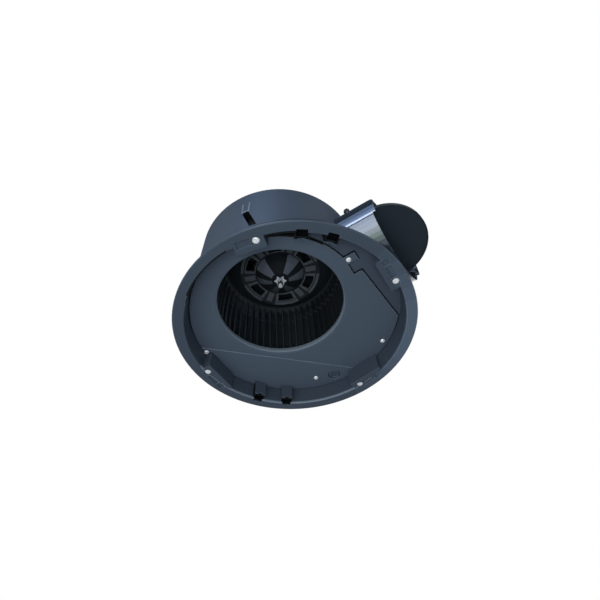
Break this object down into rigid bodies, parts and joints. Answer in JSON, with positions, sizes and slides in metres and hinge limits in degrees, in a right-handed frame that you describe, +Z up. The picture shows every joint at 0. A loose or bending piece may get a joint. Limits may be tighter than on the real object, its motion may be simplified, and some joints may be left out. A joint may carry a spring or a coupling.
{
  "type": "exhaust fan",
  "caption": "Recessed ceiling exhaust fan: centrifugal wheel in a scroll housing, round side outlet with backdraft shutters, mounting flange with swing-out clamps.",
  "frame": {"origin": "centre of the mounting flange, on the face that meets the ceiling", "axes": "+Z up into the ceiling space, -Z down into the room, +X along the outlet duct, outwards"},
  "size_m": [0.368, 0.32, 0.144],
  "materials": {
    "grey_plastic": "fine matt grain, slate grey",
    "housing_plastic": "fine matt grain, slate grey",
    "bracket_plastic": "fine matt grain, slate grey",
    "gloss_collar": "polished dark moulding",
    "shutter_plastic": "smooth dark moulding",
    "impeller_plastic": "smooth dark moulding",
    "black_plastic": "matt black",
    "ivory_plastic": "satin ivory",
    "plated_screws": "bright zinc plating",
    "bright_steel": "ground",
    "clamp_steel": "zinc plated pressing",
    "motor_steel": "laminated",
    "galvanised": "galvanised sheet",
    "copper_enamel": "enamelled wire",
    "terminal_brass": "bright",
    "black_rubber": "matt"
  },
  "bodies": {
    "casing": {"mounting_frame": "grey_plastic", "spring_brackets": "bracket_plastic", "inlet_plate": "grey_plastic", "plate_screws": "plated_screws", "scroll_housing": "housing_plastic", "outlet_duct": "gloss_collar", "duct_screws": "plated_screws", "shutter_rod": "plated_screws", "stator_core": "motor_steel", "windings": "copper_enamel", "motor_front_bracket": "galvanised", "motor_rear_bracket": "galvanised", "front_bearing": "bright_steel", "rear_bearing": "bright_steel", "motor_grommets": "black_rubber", "motor_screws": "plated_screws", "motor_nuts": "plated_screws", "terminal_box": "galvanised", "box_screws": "plated_screws", "terminal_block": "ivory_plastic", "terminal_screws": "terminal_brass", "capacitor": "black_plastic", "cable_gland": "black_plastic", "floor_plug": "black_plastic", "plate_seal": "black_rubber"},
    "fan_wheel": {"impeller": "impeller_plastic", "impeller_clip": "bright_steel", "motor_shaft": "bright_steel", "rotor": "motor_steel"},
    "lower_shutter": {"lower_shutter": "shutter_plastic"},
    "upper_shutter": {"upper_shutter": "shutter_plastic"},
    "clamp_1": {"clamp_screw_1": "plated_screws", "clamp_retainer_1": "bright_steel"},
    "clamp_arm_1": {"clamp_arm_1": "clamp_steel"},
    "clamp_2": {"clamp_screw_2": "plated_screws", "clamp_retainer_2": "bright_steel"},
    "clamp_arm_2": {"clamp_arm_2": "clamp_steel"},
    "clamp_3": {"clamp_screw_3": "plated_screws", "clamp_retainer_3": "bright_steel"},
    "clamp_arm_3": {"clamp_arm_3": "clamp_steel"},
    "clamp_4": {"clamp_screw_4": "plated_screws", "clamp_retainer_4": "bright_steel"},
    "clamp_arm_4": {"clamp_arm_4": "clamp_steel"}
  },
  "joints": [
    {"name": "fan_spin", "type": "hinge", "parent": "casing", "child": "fan_wheel", "pos_m": [-0.005, -0.0295, 0.08], "axis": [0, 0, 1], "continuous": true},
    {"name": "lower_shutter_swing", "type": "hinge", "parent": "casing", "child": "lower_shutter", "pos_m": [0.15, -0.0096, 0.0735], "axis": [0, 1, 0], "range_deg": [0, 88]},
    {"name": "upper_shutter_swing", "type": "hinge", "parent": "casing", "child": "upper_shutter", "pos_m": [0.15, -0.0096, 0.0735], "axis": [0, 1, 0], "range_deg": [-88, 0]},
    {"name": "clamp_1_swing", "type": "hinge", "parent": "casing", "child": "clamp_1", "pos_m": [0.03228, -0.13982, 0.01], "axis": [0, 0, 1], "range_deg": [0, 97]},
    {"name": "clamp_1_draw", "type": "slide", "parent": "clamp_1", "child": "clamp_arm_1", "axis": [0, 0, -1], "range_m": [0, 0.0142]},
    {"name": "clamp_2_swing", "type": "hinge", "parent": "casing", "child": "clamp_2", "pos_m": [0.14348, -0.0025, 0.01], "axis": [0, 0, 1], "range_deg": [0, 97]},
    {"name": "clamp_2_draw", "type": "slide", "parent": "clamp_2", "child": "clamp_arm_2", "axis": [0, 0, -1], "range_m": [0, 0.0028]},
    {"name": "clamp_3_swing", "type": "hinge", "parent": "casing", "child": "clamp_3", "pos_m": [0.02492, 0.14132, 0.01], "axis": [0, 0, 1], "range_deg": [0, 97]},
    {"name": "clamp_3_draw", "type": "slide", "parent": "clamp_3", "child": "clamp_arm_3", "axis": [0, 0, -1], "range_m": [0, 0.0142]},
    {"name": "clamp_4_swing", "type": "hinge", "parent": "casing", "child": "clamp_4", "pos_m": [-0.14341, -0.00501, 0.01], "axis": [0, 0, 1], "range_deg": [0, 97]},
    {"name": "clamp_4_draw", "type": "slide", "parent": "clamp_4", "child": "clamp_arm_4", "axis": [0, 0, -1], "range_m": [0, 0.0142]}
  ]
}
